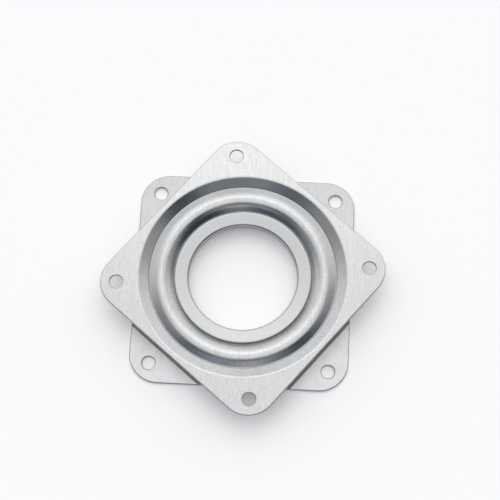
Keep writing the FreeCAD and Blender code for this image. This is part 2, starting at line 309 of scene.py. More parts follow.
GRAIN_SHARES = {"Lines": 0.3, "Mottle": 0.15, "Pits": 0.55}
# Strength of the painted shade along the valley's crease.
CREASE_SHADE_STRENGTH = 0.8
SCORE_SCALE = 4200.0
SCORE_STRETCH = 0.08
BURNISHED_GLOSS = 0.75
SMEAR_SCALE = 350.0


def new_metal(name: str) -> tuple[Material, NodeTree, Node, NodeSocket]:
    """Start a metal.

    Args:
        name: the material's name.

    Returns:
        The material, its node tree, its Principled shader and the object's coordinates.
    """
    made = bpy.data.materials.new(name)
    made.use_nodes = True
    tree = made.node_tree
    shader = tree.nodes["Principled BSDF"]
    shader.inputs["Metallic"].default_value = 1.0
    return made, tree, shader, tree.nodes.new("ShaderNodeTexCoord").outputs["Object"]


def bump_node(
    tree: NodeTree, height: NodeSocket, depth: float,
    normal: NodeSocket | None = None,
) -> NodeSocket:
    """Emboss a surface.

    Args:
        tree: where the node goes.
        height: the relief, from 0 to 1.
        depth: what 1 stands for, in metres.
        normal: the normal of a coarser relief underneath.

    Returns:
        The new normal.
    """
    node = tree.nodes.new("ShaderNodeBump")
    node.inputs["Strength"].default_value = 1.0
    node.inputs["Distance"].default_value = depth
    tree.links.new(height, node.inputs["Height"])
    if normal is not None:
        tree.links.new(normal, node.inputs["Normal"])
    return node.outputs["Normal"]


@dataclass(frozen=True)
class SheetFinish:
    """Zinc-plated cold-rolled steel: satin, faintly streaked one way, finely pitted.

    Attributes:
        name: the material's name.
        light: colour of the bright parts of the grain.
        dark: colour of its dull parts.
        smooth: roughness where the zinc is bright.
        rough: roughness where it is dull.
        line_height: depth of the rolling lines, in metres.
        pit_depth: depth of the fine pits, in metres.
        ring_height: depth of the press marks, in metres.
        crease_shade: colour of the painted shade along the valley's crease.
    """

    name: str
    light: Colour
    dark: Colour
    smooth: float
    rough: float
    line_height: float
    pit_depth: float
    ring_height: float = 0.8e-6
    crease_shade: Colour = (0.30, 0.31, 0.33)

    def material(self, grain: NodeTree, marks: NodeTree) -> Material:
        """Build the material.

        Args:
            grain: the rolled grain group.
            marks: the group of press marks and painted crease shade.

        Returns:
            The finished material.
        """
        made, tree, shader, place = new_metal(self.name)
        effects = []
        for group in (grain, marks):
            node = tree.nodes.new("ShaderNodeGroup")
            node.node_tree = group
            tree.links.new(place, node.inputs["Vector"])
            effects.append(node)
        rolled, press_and_shade = effects
        blend = 0.0
        for effect, share in GRAIN_SHARES.items():
            part = math_node(tree, "MULTIPLY", rolled.outputs[effect], share)
            blend = math_node(tree, "ADD", blend, part)
        zinc = mix_colour(tree, blend, self.dark, self.light)
        # Painted shade: the zinc is darkened along the valley's crease.
        crease_shade = math_node(tree, "MULTIPLY", press_and_shade.outputs["Crease"], CREASE_SHADE_STRENGTH)
        tree.links.new(mix_colour(tree, crease_shade, zinc, self.crease_shade), shader.inputs["Base Color"])
        gloss = ramp_node(tree, blend, 0.0, 1.0, self.rough, self.smooth)
        tree.links.new(gloss, shader.inputs["Roughness"])
        normal = bump_node(tree, rolled.outputs["Lines"], self.line_height)
        normal = bump_node(tree, rolled.outputs["Pits"], self.pit_depth, normal)
        normal = bump_node(tree, press_and_shade.outputs["Rings"], self.ring_height, normal)
        tree.links.new(normal, shader.inputs["Normal"])
        return made


@dataclass(frozen=True)
class ShearedFinish:
    """Cut edge of the sheet, with short score lines across its thickness, coloured with painted
    light and shade.

    Attributes:
        name: the material's name.
        bright: colour of the burnished scores and tint of the edge's reflection: near black on the
            upper plate as painted shade, near white on the lower plate as painted light.
        torn: colour of the torn metal between them, painted dark and light in the same way.
        rough: roughness of the torn metal.
    """

    name: str
    bright: Colour
    torn: Colour
    rough: float

    def material(self) -> Material:
        """Build the material."""
        made, tree, shader, place = new_metal(self.name)
        # The scores' colour also tints the edge's reflection, so the upper plate's near-black copy
        # paints shade onto its edges.
        shader.inputs["Specular Tint"].default_value = (*self.bright, 1.0)
        upright = tree.nodes.new("ShaderNodeMapping")
        upright.inputs["Scale"].default_value = (1.0, 1.0, SCORE_STRETCH)
        tree.links.new(place, upright.inputs["Vector"])
        scores = noise_node(tree, upright.outputs["Vector"], SCORE_SCALE, 2.0)
        scores = ramp_node(tree, scores, *NOISE_SPREAD)
        colour = mix_colour(tree, scores, self.torn, self.bright)
        tree.links.new(colour, shader.inputs["Base Color"])
        gloss = ramp_node(tree, scores, 0.0, 1.0, self.rough, BURNISHED_GLOSS * self.rough)
        tree.links.new(gloss, shader.inputs["Roughness"])
        return made


@dataclass(frozen=True)
class BallFinish:
    """Ground and polished ball steel with a trace of grease film.

    Attributes:
        name: the material's name.
        colour: the steel's colour.
        film: the colour under the film.
        polished: roughness of the bare steel.
        filmed: roughness of the film.
    """

    name: str
    colour: Colour
    film: Colour
    polished: float = 0.08
    filmed: float = 0.2

    def material(self) -> Material:
        """Build the material."""
        made, tree, shader, place = new_metal(self.name)
        smear = noise_node(tree, place, SMEAR_SCALE, 3.0)
        smear = ramp_node(tree, smear, 0.35, 0.7)
        tree.links.new(mix_colour(tree, smear, self.colour, self.film), shader.inputs["Base Color"])
        gloss = ramp_node(tree, smear, 0.0, 1.0, self.polished, self.filmed)
        tree.links.new(gloss, shader.inputs["Roughness"])
        return made


@dataclass(frozen=True)
class FloorFinish:
    """Plain white table top that keeps the object's soft shadow.

    Attributes:
        name: the material's name.
        colour: the floor's colour.
        exposure: how much brighter the camera sees the diffuse floor.
        lift: how far camera and mirror rays see it lightened towards white.
    """

    name: str
    colour: Colour
    exposure: float
    lift: float

    def material(self) -> Material:
        """Build the material."""
        made = bpy.data.materials.new(self.name)
        made.use_nodes = True
        tree = made.node_tree
        shader = tree.nodes["Principled BSDF"]
        shader.inputs["Base Color"].default_value = (*self.colour, 1.0)
        shader.inputs["Roughness"].default_value = 0.9
        shader.inputs["Specular IOR Level"].default_value = 0.0
        rays = tree.nodes.new("ShaderNodeLightPath")
        exposed = tree.nodes.new("ShaderNodeBsdfDiffuse")
        exposed.inputs["Color"].default_value = (*[c * self.exposure for c in self.colour], 1.0)
        camera = rays.outputs["Is Camera Ray"]
        base = tree.nodes.new("ShaderNodeMixShader")
        tree.links.new(camera, base.inputs["Fac"])
        tree.links.new(shader.outputs[0], base.inputs[1])
        tree.links.new(exposed.outputs[0], base.inputs[2])
        seen = math_node(tree, "MAXIMUM", camera, rays.outputs["Is Glossy Ray"])
        seen = math_node(tree, "MAXIMUM", seen, rays.outputs["Is Transmission Ray"])
        glow = tree.nodes.new("ShaderNodeEmission")
        tree.links.new(math_node(tree, "MULTIPLY", seen, self.lift), glow.inputs["Strength"])
        both = tree.nodes.new("ShaderNodeAddShader")
        tree.links.new(base.outputs[0], both.inputs[0])
        tree.links.new(glow.outputs[0], both.inputs[1])
        tree.links.new(both.outputs[0], tree.nodes["Material Output"].inputs["Surface"])
        return made


LOWER_SHEET = SheetFinish(
    name="zinc_sheet_lower",
    light=(0.56, 0.565, 0.57),
    dark=(0.45, 0.455, 0.46),
    smooth=0.46,
    rough=0.50,
    line_height=0.4e-6,
    pit_depth=14.0e-6,
)
UPPER_SHEET = SheetFinish(
    name="zinc_sheet_upper",
    light=(0.71, 0.715, 0.72),
    dark=(0.54, 0.545, 0.55),
    smooth=0.13,
    rough=0.20,
    line_height=0.25e-6,
    pit_depth=9.0e-6,
)
EYELET_SHEET = SheetFinish(
    name="zinc_eyelet",
    light=(0.58, 0.585, 0.59),
    dark=(0.55, 0.555, 0.56),
    smooth=0.21,
    rough=0.26,
    line_height=0.3e-6,
    pit_depth=6.0e-6,
    ring_height=0.5e-6,
    # Colour of the painted crease shade, which the eyelet never reaches.
    crease_shade=(0.5, 0.5, 0.5),
)
# Cut edges with painted light and shade: the upper plate's are near black as painted shade.
UPPER_EDGE_SHADED = ShearedFinish("sheared_edge_upper_painted_shade", (0.05, 0.05, 0.055), (0.03, 0.03, 0.033), 0.4)
# The lower plate's and the eyelet's cut edges are near white as painted light.
LOWER_EDGE_LIT = ShearedFinish("sheared_edge_lower_painted_light", (0.88, 0.88, 0.89), (0.80, 0.80, 0.81), 0.8)
BALL_STEEL = BallFinish("ball_steel_polished", (0.80, 0.80, 0.82), (0.70, 0.69, 0.67))
TABLE_TOP = FloorFinish("table_top", (0.92, 0.92, 0.92), exposure=1.52, lift=0.15)


# Shapes that repeat or follow a path.


def finish_ring(
    tree: NodeTree, shape: NodeSocket, inside: Node,
    outside: Node,
) -> None:
    """End a geometry tree: realize the instances, smooth the shading and set the material.

    Args:
        tree: the tree.
        shape: the geometry made so far.
        inside: the group's input node, with a Finish.
        outside: the group's output node, with a Ring.
    """
    for kind in ("RealizeInstances", "SetShadeSmooth", "SetMaterial"):
        node = tree.nodes.new("GeometryNode" + kind)
        tree.links.new(shape, node.inputs["Geometry"])
        shape = node.outputs["Geometry"]
    tree.links.new(inside.outputs["Finish"], node.inputs["Material"])
    tree.links.new(shape, outside.inputs["Ring"])


def swept_ring_tree() -> NodeTree:
    """A closed section swept round the turning axis: pressed middles and the rolled eyelet."""
    tree, inside, outside = new_group(
        "swept_ring",
        "GeometryNodeTree",
        {
            "Section": (GEOMETRY, None),
            "Pitch radius": (FLOAT, 0.03),
            "Steps": (INTEGER, 256),
            "Finish": (MATERIAL, None),
        },
        {"Ring": GEOMETRY},
    )
    path = tree.nodes.new("GeometryNodeCurvePrimitiveCircle")
    section = tree.nodes.new("GeometryNodeMeshToCurve")
    sweep = tree.nodes.new("GeometryNodeCurveToMesh")
    link = tree.links.new
    link(inside.outputs["Pitch radius"], path.inputs["Radius"])
    link(inside.outputs["Steps"], path.inputs["Resolution"])
    link(inside.outputs["Section"], section.inputs["Mesh"])
    link(path.outputs["Curve"], sweep.inputs["Curve"])
    link(section.outputs["Curve"], sweep.inputs["Profile Curve"])
    finish_ring(tree, sweep.outputs["Mesh"], inside, outside)
    return tree


def ball_race_tree() -> NodeTree:
    """A full ring of balls on the race's pitch circle."""
    tree, inside, outside = new_group(
        "ball_race",
        "GeometryNodeTree",
        {
            "Blank": (GEOMETRY, None),
            "Balls": (INTEGER, 29),
            "Pitch radius": (FLOAT, 0.0285),
            "Ball radius": (FLOAT, 0.003),
            "Height": (FLOAT, 0.0043),
            "Finish": (MATERIAL, None),
        },
        {"Ring": GEOMETRY},
    )
    circle = tree.nodes.new("GeometryNodeMeshCircle")
    ball = tree.nodes.new("GeometryNodeMeshUVSphere")
    ball.inputs["Segments"].default_value = BALL_SEGMENTS
    ball.inputs["Rings"].default_value = BALL_RINGS
    place = tree.nodes.new("GeometryNodeInstanceOnPoints")
    lift = tree.nodes.new("GeometryNodeTransform")
    rise = tree.nodes.new("ShaderNodeCombineXYZ")
    link = tree.links.new
    link(inside.outputs["Balls"], circle.inputs["Vertices"])
    link(inside.outputs["Pitch radius"], circle.inputs["Radius"])
    link(inside.outputs["Ball radius"], ball.inputs["Radius"])
    link(circle.outputs["Mesh"], place.inputs["Points"])
    link(ball.outputs["Mesh"], place.inputs["Instance"])
    link(inside.outputs["Height"], rise.inputs["Z"])
    link(place.outputs["Instances"], lift.inputs["Geometry"])
    link(rise.outputs["Vector"], lift.inputs["Translation"])
    finish_ring(tree, lift.outputs["Geometry"], inside, outside)
    return tree


def grown(
    name: str, source: Mesh, tree: NodeTree, values: dict[str, object]
) -> Mesh:
    """Run a Geometry Nodes tree on a mesh and keep the plain result.

    Args:
        name: the result's name.
        source: the mesh that goes in.
        tree: the tree.
        values: its named inputs.

    Returns:
        A plain mesh.
    """
    holder = bpy.data.objects.new(name + "_maker", source)
    bpy.context.scene.collection.objects.link(holder)
    modifier = holder.modifiers.new("grow", "NODES")
    modifier.node_group = tree
    for item in tree.interface.items_tree:
        if item.item_type == "SOCKET" and item.in_out == "INPUT" and item.name in values:
            modifier[item.identifier] = values[item.name]
    graph = bpy.context.evaluated_depsgraph_get()
    result = bpy.data.meshes.new_from_object(holder.evaluated_get(graph), depsgraph=graph)
    result.name = name
    holder.modifiers.remove(modifier)
    bpy.data.objects.remove(holder)
    return result


def section_mesh(
    name: str, points: list[Point], pitch: float, closed: bool
) -> Mesh:
    """A section as a line of edges, ready to be swept round the axis.

    Args:
        name: the mesh's name.
        points: radius and height of each point, in millimetres.
        pitch: radius of the sweep's path, in millimetres.
        closed: whether the last point joins the first.

    Returns:
        The mesh, in the sweep's own plane.
    """
    made = bpy.data.meshes.new(name)
    places = [((radius - pitch) * MM, -height * MM, 0.0) for radius, height in points]
    edges = [(i, i + 1) for i in range(len(places) - 1)]
    if closed:
        edges.append((len(places) - 1, 0))
    made.from_pydata(places, edges, [])
    return made


def arc_points(
    centre: Point, radius: float, start: float, end: float, step: float = 4.0
) -> list[Point]:
    """Points along an arc, both ends included.

    Args:
        centre: radius and height of the arc's centre.
        radius: the arc's own radius.
        start: first direction, in radians.
        end: last direction, in radians.
        step: the largest turn between two points, in degrees.

    Returns:
        The points.
    """
    count = max(2, math.ceil(math.degrees(abs(end - start)) / step))
    angles = [start + (end - start) * i / count for i in range(count + 1)]
    return [(centre[0] + radius * math.cos(a), centre[1] + radius * math.sin(a)) for a in angles]


def circle_points(x: float, y: float, radius: float, count: int) -> list[Point]:
    """Points round a circle, anticlockwise, without closing it.

    Args:
        x: the centre's X.
        y: the centre's Y.
        radius: the circle's radius.
        count: how many points.

    Returns:
        The points.
    """
    angles = [2 * math.pi * i / count for i in range(count)]
    return [(x + radius * math.cos(a), y + radius * math.sin(a)) for a in angles]


def skin_cut_edge(work: bmesh.types.BMesh, rings: list[list[tuple[float, float, float]]]) -> None:
    """Skin the rounded cut edge between two faces of the sheet.

    Args:
        work: the mesh under construction.
        rings: loops of points from the outer face to the inner face.
    """
    loops = [[work.verts.new(Vector(p) * MM) for p in ring] for ring in rings]
    for first, second in zip(loops, loops[1:]):
        for i in range(len(first)):
            j = (i + 1) % len(first)
            face = work.faces.new((first[i], first[j], second[j], second[i]))
            face.material_index = CUT_INDEX
            face.smooth = True


def fill_flat_face(
    work: bmesh.types.BMesh, loops: list[list[Point]], height: float, up: bool
) -> None:
    """Fill a flat face between the outline, the screw holes and the recess.

    Args:
        work: the mesh under construction.
        loops: the boundary loops.
        height: the face's height.
        up: whether it looks up.
    """
    edges = []
    for loop in loops:
        verts = [work.verts.new(Vector((x, y, height)) * MM) for x, y in loop]
        edges += [work.edges.new((verts[i - 1], verts[i])) for i in range(len(verts))]
    filled = bmesh.ops.triangle_fill(work, use_beauty=True, use_dissolve=False, edges=edges)
    for face in filled["geom"]:
        if isinstance(face, bmesh.types.BMFace):
            face.normal_update()
            if (face.normal.z > 0) != up:
                face.normal_flip()
            face.material_index = SHEET_INDEX
            face.smooth = True


def mark_sharp(work: bmesh.types.BMesh) -> None:
    """Keep an edge sharp where it parts a flat face from a curved one, or turns far.

    Args:
        work: the mesh, with its normals up to date.
    """
    for edge in work.edges:
        if len(edge.link_faces) == 2:
            level = [abs(face.normal.z) > LEVEL_NORMAL for face in edge.link_faces]
            edge.smooth = level[0] == level[1] and edge.calc_face_angle() < SHARP_TURN


def dressed(name: str, mesh: Mesh, *finishes: Material) -> Object:
    """Put a finished mesh in the scene.

    Args:
        name: the piece's name.
        mesh: its mesh, with every place in it.
        finishes: its materials, in the order of its material indices.

    Returns:
        The piece.
    """
    mesh.materials.clear()
    for finish in finishes:
        mesh.materials.append(finish)
    piece = bpy.data.objects.new(name, mesh)
    bpy.context.scene.collection.objects.link(piece)
    return piece


# Sub-assemblies.


@dataclass
class Bend:
    """One bend of the pressed section.

    Attributes:
        centre: radius and height of its centre.
        outer: radius of the plate's outer face round it.
        inner: radius of its inner face.
        below: whether the sheet passes below the centre.
    """

    centre: Point
    outer: float
    inner: float
    below: bool


@dataclass
class PressedPlate:
    """Square plate with a pressed recess, a race ridge and a flat inner flange.

    Attributes:
        node: the CAD node that it dresses.
        body: the body that it rides on.
        face: which way its outer face looks.
        turn: degrees about the axis from the bottom plate.
        side: length of the square's side.
        corner: rounding of its corners.
        sheet: thickness of the sheet.
        height: height of the whole bearing.
        hole_inset: a screw hole's centre to the two nearest sides.
        hole: a screw hole's diameter.
        rim_width: flat face between the recess and the middle of a side.
        recess_bend: inside radius at the recess's edge.
        recess_wall: straight run of the recess's wall.
        valley_depth: lowest line of the recess, below the outer face.
        valley_bend: inside radius of its crease.
        outer_wall: straight run of the ridge's outer slope.
        groove: radius of the ball race under the ridge.
        crest_depth: how far the ridge stays below the outer face.
        inner_wall: straight run of the ridge's inner slope.
        flange_bend: inside radius at the flange's foot.
        flange_gap: gap between the flanges of the two plates.
        flange_width: from the foot's bend to the centre hole.
        edge: rounding of the cut edges.
        steps: steps round the pressed middle.
        hole_steps: steps round a screw hole.
        bends: the four bends from the rim inwards, worked out from the sizes.
    """

    node: str
    body: str
    face: Face
    turn: float
    side: float = 77.0
    corner: float = 10.3
    sheet: float = 1.0
    height: float = 8.6
    hole_inset: float = 7.0
    hole: float = 4.7
    rim_width: float = 1.43
    recess_bend: float = 1.0
    recess_wall: float = 3.32
    valley_depth: float = 1.6
    valley_bend: float = 0.6
    outer_wall: float = 1.5
    groove: float = 4.5
    crest_depth: float = 0.26
    inner_wall: float = 1.3
    flange_bend: float = 0.3
    flange_gap: float = 1.2
    flange_width: float = 4.0
    edge: float = 0.28
    steps: int = 288
    hole_steps: int = 48
    bends: list[Bend] = field(init=False)

    def __post_init__(self) -> None:
        """Work out the four bends from the sizes, from the rim inwards."""
        rim = self.recess_bend + self.sheet
        ridge = self.groove + self.sheet
        heights = [
            rim,
            self.valley_depth - self.valley_bend,
            self.crest_depth + ridge,
            self.flange_face - self.flange_bend,
        ]
        outers = [rim, self.valley_bend, ridge, self.flange_bend]
        inners = [
            self.recess_bend,
            self.valley_bend + self.sheet,
            self.groove,
            self.flange_bend + self.sheet,
        ]
        straights = [self.recess_wall, self.outer_wall, self.inner_wall]
        across = [self.side / 2 - self.rim_width]
        for i, straight in enumerate(straights):
            reach = (outers[i] + outers[i + 1]) ** 2 + straight**2
            across.append(across[i] - math.sqrt(reach - (heights[i] - heights[i + 1]) ** 2))
        rows = zip(across, heights, outers, inners)
        self.bends = [
            Bend((x, z), outer, inner, i % 2 == 0) for i, (x, z, outer, inner) in enumerate(rows)
        ]

    @property
    def flange_face(self) -> float:
        """Height of the flange's outer face above the plate's."""
        return self.height / 2 - self.flange_gap / 2 - self.sheet

    @property
    def rim(self) -> float:
        """Radius where the flat face bends into the recess."""
        return self.bends[0].centre[0]

    @property
    def pitch(self) -> float:
        """Radius of the ball race."""
        return self.bends[2].centre[0]

    @property
    def foot(self) -> float:
        """Radius of the bend at the flange's foot."""
        return self.bends[3].centre[0]

    @property
    def flange_hole(self) -> float:
        """Radius of the centre hole."""
        return self.foot - self.flange_width

    def sweep_angles(self) -> list[tuple[float, float]]:
        """Where the sheet enters and leaves each bend, seen from its centre."""
        crossings = []
        for first, second in zip(self.bends, self.bends[1:]):
            dx = second.centre[0] - first.centre[0]
            dy = second.centre[1] - first.centre[1]
            opening = math.acos((first.outer + second.outer) / math.hypot(dx, dy))
            crossings.append(math.atan2(dy, dx) + (opening if first.below else -opening))
        pairs = []
        for i, bend in enumerate(self.bends):
            middle = -QUARTER if bend.below else QUARTER
            enter = middle if i == 0 else self.near(crossings[i - 1] + math.pi, middle)
            leave = middle if i == len(self.bends) - 1 else self.near(crossings[i], middle)
            pairs.append((enter, leave))
        return pairs

    @staticmethod
    def near(angle: float, middle: float) -> float:
        """The same direction within half a turn of another."""
        return angle - 2 * math.pi * round((angle - middle) / (2 * math.pi))

    def edge_profile(self) -> list[Point]:
        """Distance inside the cut edge, and height, from the outer face to the inner face."""
        low, high = self.edge, self.sheet - self.edge
        outer = arc_points((self.edge, low), self.edge, -QUARTER, -math.pi, ROUNDING_STEP)
        inner = arc_points((self.edge, high), self.edge, math.pi, QUARTER, ROUNDING_STEP)
        return outer + inner

    def section(self) -> list[Point]:
        """Section of the pressed middle: outer face inwards, flange edge, inner face back."""
        outer: list[Point] = []
        inner: list[Point] = []
        for bend, (enter, leave) in zip(self.bends, self.sweep_angles()):
            outer += arc_points(bend.centre, bend.outer, enter, leave)
            inner += arc_points(bend.centre, bend.inner, enter, leave)
        low = outer[-1][1]
        rounded = [(self.flange_hole + gap, low + rise) for gap, rise in self.edge_profile()]
        return outer + rounded + inner[::-1]

    def outline(self, inset: float) -> list[Point]:
        """The plate's outline, moved inwards.

        Args:
            inset: how far inside the real outline it runs.

        Returns:
            Points, anticlockwise.
        """
        reach = self.side / 2 - self.corner
        corners = [(reach, -reach), (reach, reach), (-reach, reach), (-reach, -reach)]
        points = []
        for i, corner in enumerate(corners):
            start = QUARTER * (i - 1)
            points += arc_points(corner, self.corner - inset, start, start + QUARTER, CORNER_STEP)
        return points

    def hole_centres(self) -> list[Point]:
        """Centres of the four screw holes."""
        offset = self.side / 2 - self.hole_inset
        return [(x, y) for x in (-offset, offset) for y in (-offset, offset)]

    def sweep_middle(
        self, work: bmesh.types.BMesh, tree: NodeTree, sheet: Material
    ) -> None:
        """Sweep the pressed middle and tell its cut edge from its faces.

        Args:
            work: the mesh under construction.
            tree: the swept ring tree.
            sheet: finish of the plate's faces.
        """
        line = section_mesh(self.node + "_section", self.section(), self.pitch, False)
        values = {"Pitch radius": self.pitch * MM, "Steps": self.steps, "Finish": sheet}
        middle = grown(self.node + "_middle", line, tree, values)
        work.from_mesh(middle)
        bpy.data.meshes.remove(middle)
        reach = (self.flange_hole + self.edge * ROUNDED_SHARE) * MM
        for face in work.faces:
            centre = face.calc_center_median()
            on_cut = math.hypot(centre.x, centre.y) < reach
            face.material_index = CUT_INDEX if on_cut else SHEET_INDEX
            face.smooth = True

    def cut_square(self, work: bmesh.types.BMesh) -> None:
        """Add the flat rim with its screw holes, and all their cut edges.

        Args:
            work: the mesh under construction.
        """
        recess = circle_points(0.0, 0.0, self.rim, self.steps)
        radius = self.hole / 2
        for height, up in ((0.0, False), (self.sheet, True)):
            loops = [self.outline(self.edge), recess]
            for x, y in self.hole_centres():
                loops.append(circle_points(x, y, radius + self.edge, self.hole_steps))
            fill_flat_face(work, loops, height, up)
        profile = self.edge_profile()
        skin_cut_edge(work, [[(x, y, z) for x, y in self.outline(gap)] for gap, z in profile])
        for x, y in self.hole_centres():
            rings = []
            for gap, z in profile:
                ring = circle_points(x, y, radius + gap, self.hole_steps)
                rings.append([(px, py, z) for px, py in ring[::-1]])
            skin_cut_edge(work, rings)

    def build(
        self, tree: NodeTree, sheet: Material, cut: Material
    ) -> Object:
        """Build, place and dress the plate.

        Args:
            tree: the swept ring tree.
            sheet: finish of its faces.
            cut: finish of its cut edges.

        Returns:
            The plate's piece.
        """
        work = bmesh.new()
        self.sweep_middle(work, tree, sheet)
        self.cut_square(work)
        bmesh.ops.remove_doubles(work, verts=work.verts, dist=PLATE_WELD * MM)
        bmesh.ops.recalc_face_normals(work, faces=work.faces)
        work.normal_update()
        mark_sharp(work)
        if self.face is Face.UP:
            over = Matrix.Rotation(math.pi, 4, "X")
            about = Matrix.Rotation(math.radians(self.turn), 4, "Z")
            lift = Matrix.Translation((0.0, 0.0, self.height * MM))
            work.transform(lift @ about @ over)
        made = bpy.data.meshes.new(self.node + "_sheet")
        work.to_mesh(made)
        open_edges = sum(1 for edge in work.edges if len(edge.link_faces) != 2)
        work.free()
        piece = dressed(self.node + "_sheet", made, sheet, cut)
        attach(piece, self.body)
        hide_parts(self.node)
        LOG.info("%s: %d faces, %d open edges", piece.name, len(made.polygons), open_edges)
        return piece


@dataclass
class CentreEyelet:
    """Eyelet rolled over the flanges of both plates, with a lip at each end.

    Attributes:
        plate: the plate whose flange it holds.
        metal: thickness of its sheet.
        bend: inside radius where a lip is rolled over.
        lip_clearance: gap between a lip's edge and the foot of the ridge.
        lip_width: how far a lip reaches past the barrel.
        play: gap between the upper lip and the flange.
        edge: rounding of the lips' cut edges.
        dish: how much a lip thins towards its bend.
        steps: steps round the axis.
    """

    plate: PressedPlate
    metal: float = 0.5
    bend: float = 0.2
    lip_clearance: float = 0.05
    lip_width: float = 4.25
    play: float = 0.1
    edge: float = 0.1
    dish: float = 0.26
    steps: int = 288

    @property
    def lip(self) -> float:
        """Radius of the lips' cut edge."""
        return self.plate.foot - self.lip_clearance

    @property
    def bore(self) -> float:
        """Radius of the opening."""
        return self.lip - self.lip_width - self.metal

    def section(self) -> list[Point]:
        """The eyelet's closed section: its upper half, then the same mirrored below."""
        low_seat = self.plate.flange_face
        high_seat = self.plate.height - low_seat + self.play
        across = self.bore + self.bend + self.metal
        outer = self.bend + self.metal
        bend_height = high_seat - self.bend
        top = high_seat + self.metal
        rim = self.lip - self.edge
        upper = arc_points((across, bend_height - self.dish), outer, math.pi, QUARTER, BEND_STEP)
        for share in LIP_SUPPORTS:
            upper.append((across + (rim - across) * share, top - self.dish * (1 - share)))
        upper += arc_points((rim, top - self.edge), self.edge, QUARTER, 0.0, ROUNDING_STEP)
        upper += arc_points((rim, high_seat + self.edge), self.edge, 0.0, -QUARTER, ROUNDING_STEP)
        upper += arc_points((across, bend_height), self.bend, QUARTER, math.pi, SMALL_BEND_STEP)
        return upper + [(x, low_seat + high_seat - z) for x, z in upper[::-1]]

    def build(
        self, tree: NodeTree, finish: Material, cut: Material
    ) -> None:
        """Build and dress the eyelet.

        Args:
            tree: the swept ring tree.
            finish: finish of its rolled faces.
            cut: finish of the lips' cut edges.
        """
        pitch = (self.bore + self.lip) / 2
        line = section_mesh("eyelet_section", self.section(), pitch, True)
        values = {"Pitch radius": pitch * MM, "Steps": self.steps, "Finish": finish}
        made = grown("centre_eyelet_rolled", line, tree, values)
        work = bmesh.new()
        work.from_mesh(made)
        bmesh.ops.remove_doubles(work, verts=work.verts, dist=EYELET_WELD * MM)
        bmesh.ops.recalc_face_normals(work, faces=work.faces)
        work.normal_update()
        for face in work.faces:
            centre = face.calc_center_median()
            on_cut = math.hypot(centre.x, centre.y) > (self.lip - self.edge) * MM
            face.material_index = CUT_INDEX if on_cut else SHEET_INDEX
            face.smooth = True
        mark_sharp(work)
        work.to_mesh(made)
        work.free()
        piece = dressed("centre_eyelet_rolled", made, finish, cut)
        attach(piece, "base")
        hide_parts("centre_eyelet")
        LOG.info("%s: %d faces", piece.name, len(made.polygons))


@dataclass
class BallRing:
    """The full ring of loose balls.

    Attributes:
        plate: the plate in whose race they run.
        count: how many balls.
        radius: a ball's radius.
    """

    plate: PressedPlate
    count: int = len(BALL_NODES)
    radius: float = 3.0

    def build(self, tree: NodeTree, finish: Material) -> None:
        """Build and dress the balls.

        Args:
            tree: the ball race tree.
            finish: the balls' finish.
        """
        values = {
            "Balls": self.count,
            "Pitch radius": self.plate.pitch * MM,
            "Ball radius": self.radius * MM,
            "Height": self.plate.height / 2 * MM,
            "Finish": finish,
        }
        made = grown("ball_ring_polished", bpy.data.meshes.new("ball_ring_blank"), tree, values)
        piece = dressed("ball_ring_polished", made, finish)
        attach(piece, "ball_ring")
        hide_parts(*BALL_NODES)
        LOG.info("%s: %d balls, %d faces", piece.name, self.count, len(made.polygons))


# Floor, light and camera.


@dataclass(frozen=True)
class SkyPatch:
    """Round, soft-edged patch of the surround.

    Attributes:
        azimuth: its middle, in degrees from the camera's side to the camera's right.
        elevation: its middle, in degrees above the floor.
        core: degrees from the middle where it is still full.
        rim: degrees where it has faded out.
        amount: the light that it adds, or the share of the light that it takes.
    """

    azimuth: float
    elevation: float
    core: float
    rim: float
    amount: float = 1.0


LAMPS = (
    SkyPatch(180, 80, 7, 36, 0.38),
    SkyPatch(180, 49, 2, 26, 0.27),
    SkyPatch(180, 60, 5, 53, 0.11),
    SkyPatch(180, 10, 3, 26, 0.27),
    SkyPatch(136, 25, 9, 43, 0.33),
    SkyPatch(-136, 25, 9, 42, 0.29),
    SkyPatch(180, 68, 1, 8, 0.08),
    SkyPatch(180, 78, 1, 7, 0.06),
    SkyPatch(0, 49, 2, 12, 0.17),
    SkyPatch(-38, 49, 3, 11, 0.22),
    SkyPatch(38, 48, 2, 10, 0.10),
)
GAPS = (
    SkyPatch(0, 38, 14, 47, 0.14),
    SkyPatch(45, 27, 13, 36, 0.80),
    SkyPatch(-45, 27, 13, 34, 0.56),
    SkyPatch(97, 65, 5, 28, 0.12),
    SkyPatch(-93, 62, 7, 33, 0.19),
    SkyPatch(52, 60, 6, 14, 0.82),
    SkyPatch(-52, 60, 6, 14, 0.60),
    SkyPatch(0, 64, 5, 15, 0.42),
    SkyPatch(148, 75, 4, 8.5, 0.18),
    SkyPatch(-148, 75, 4, 8.5, 0.22),
)
COOL_PATCHES = (
    SkyPatch(-46, 45, 6, 24),
    SkyPatch(46, 45, 6, 24),
)
TINT_LEVELS = (0.02, 0.25)
DIM_LIGHT = (0.80, 0.88, 1.0)
FULL_LIGHT = (0.99, 0.995, 1.0)
COOL_LIGHT = (0.84, 0.92, 1.12)


